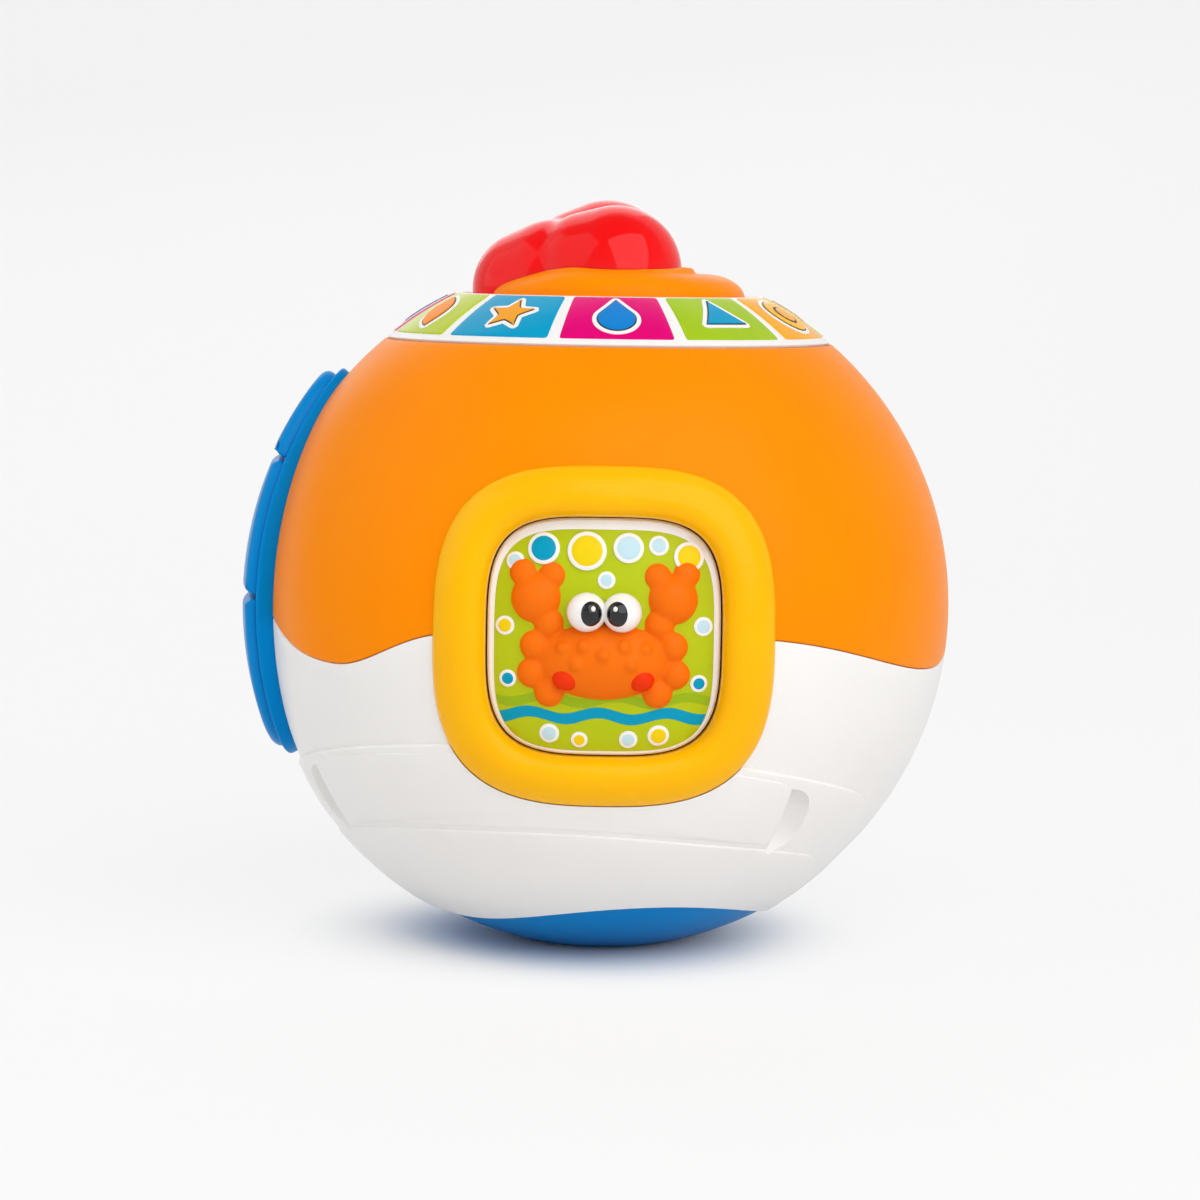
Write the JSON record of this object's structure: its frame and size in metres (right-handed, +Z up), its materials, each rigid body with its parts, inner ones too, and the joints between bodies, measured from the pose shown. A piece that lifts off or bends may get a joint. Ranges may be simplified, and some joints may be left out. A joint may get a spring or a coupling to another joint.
{
  "type": "activity ball",
  "caption": "Hollow plastic activity ball for a baby, with a puffy heart push-button on a lit picture ring, a framed pressable crab panel, side press keys and a flat foot.",
  "frame": {"origin": "centre of the flat foot that the ball stands on", "axes": "+Z up through the heart button, the crab panel faces -Y and the side keys face -X"},
  "size_m": [0.1796, 0.1761, 0.1874],
  "materials": {
    "orange_plastic": "glossy moulded plastic",
    "white_plastic": "glossy moulded plastic",
    "yellow_plastic": "glossy moulded plastic",
    "blue_plastic": "satin moulded plastic",
    "base_blue_plastic": "satin moulded plastic",
    "red_plastic": "high-gloss moulded plastic",
    "lime_plastic": "glossy moulded plastic",
    "ring_blue_plastic": "translucent-looking glossy plastic",
    "magenta_plastic": "translucent-looking glossy plastic",
    "green_plastic": "translucent-looking glossy plastic",
    "amber_plastic": "translucent-looking glossy plastic",
    "soft_orange_plastic": "soft matte plastic",
    "cheek_red_plastic": "soft matte plastic",
    "dark_plastic": "matte plastic",
    "board": "matte circuit board",
    "steel": "plain steel"
  },
  "bodies": {
    "ball": {"upper_shell": "orange_plastic", "lower_shell": "white_plastic", "base_cap": "base_blue_plastic", "base_screws": "steel", "shell_screws": "steel", "ring_frame": "white_plastic", "tiles_lime": "lime_plastic", "tiles_blue": "ring_blue_plastic", "tiles_magenta": "magenta_plastic", "tiles_green": "green_plastic", "tiles_yellow": "amber_plastic", "leaf_icons": "orange_plastic", "star_icons": "amber_plastic", "drop_icons": "blue_plastic", "triangle_icons": "ring_blue_plastic", "hoop_icons": "yellow_plastic", "top_cap": "orange_plastic", "heart_spring": "steel", "button_carrier": "white_plastic", "button_switch": "dark_plastic", "led_board": "board", "leds": "white_plastic", "front_frame": "yellow_plastic", "panel_back": "white_plastic", "panel_spring": "steel", "side_seat": "base_blue_plastic", "upper_key_spring": "steel", "middle_key_spring": "steel", "lower_key_spring": "steel", "battery_box": "dark_plastic", "battery_cells": "amber_plastic", "battery_contacts": "steel", "main_board": "board", "board_chips": "dark_plastic", "speaker": "dark_plastic", "switch_body": "steel"},
    "heart": {"heart_button": "red_plastic"},
    "crab_panel": {"panel_plate": "lime_plastic", "crab_figure": "soft_orange_plastic", "crab_eyes": "white_plastic", "crab_pupils": "dark_plastic", "crab_cheeks": "cheek_red_plastic"},
    "key_upper": {"upper_key": "blue_plastic"},
    "key_middle": {"middle_key": "blue_plastic"},
    "key_lower": {"lower_key": "blue_plastic"},
    "switch_knob": {"power_switch": "dark_plastic"}
  },
  "joints": [
    {"name": "heart_press", "type": "slide", "parent": "ball", "child": "heart", "axis": [0, 0, 1], "range_m": [-0.0035, 0], "stiffness_N_per_m": 600, "springref_m": 0.003, "deforming": ["heart_spring"]},
    {"name": "panel_press", "type": "slide", "parent": "ball", "child": "crab_panel", "axis": [0, 1, 0], "range_m": [0, 0.0025], "stiffness_N_per_m": 500, "springref_m": -0.003, "deforming": ["panel_spring"]},
    {"name": "upper_key_press", "type": "slide", "parent": "ball", "child": "key_upper", "axis": [0.8334, -0.0291, -0.5519], "range_m": [0, 0.0016], "stiffness_N_per_m": 500, "springref_m": -0.002, "deforming": ["upper_key_spring"]},
    {"name": "middle_key_press", "type": "slide", "parent": "ball", "child": "key_middle", "axis": [0.9738, -0.034, -0.225], "range_m": [0, 0.0016], "stiffness_N_per_m": 500, "springref_m": -0.002, "deforming": ["middle_key_spring"]},
    {"name": "lower_key_press", "type": "slide", "parent": "ball", "child": "key_lower", "axis": [0.9757, -0.0341, 0.2164], "range_m": [0, 0.0016], "stiffness_N_per_m": 500, "springref_m": -0.002, "deforming": ["lower_key_spring"]},
    {"name": "power_slide", "type": "slide", "parent": "ball", "child": "switch_knob", "axis": [-0.6947, 0.7193, 0], "range_m": [-0.003, 0.003]}
  ]
}
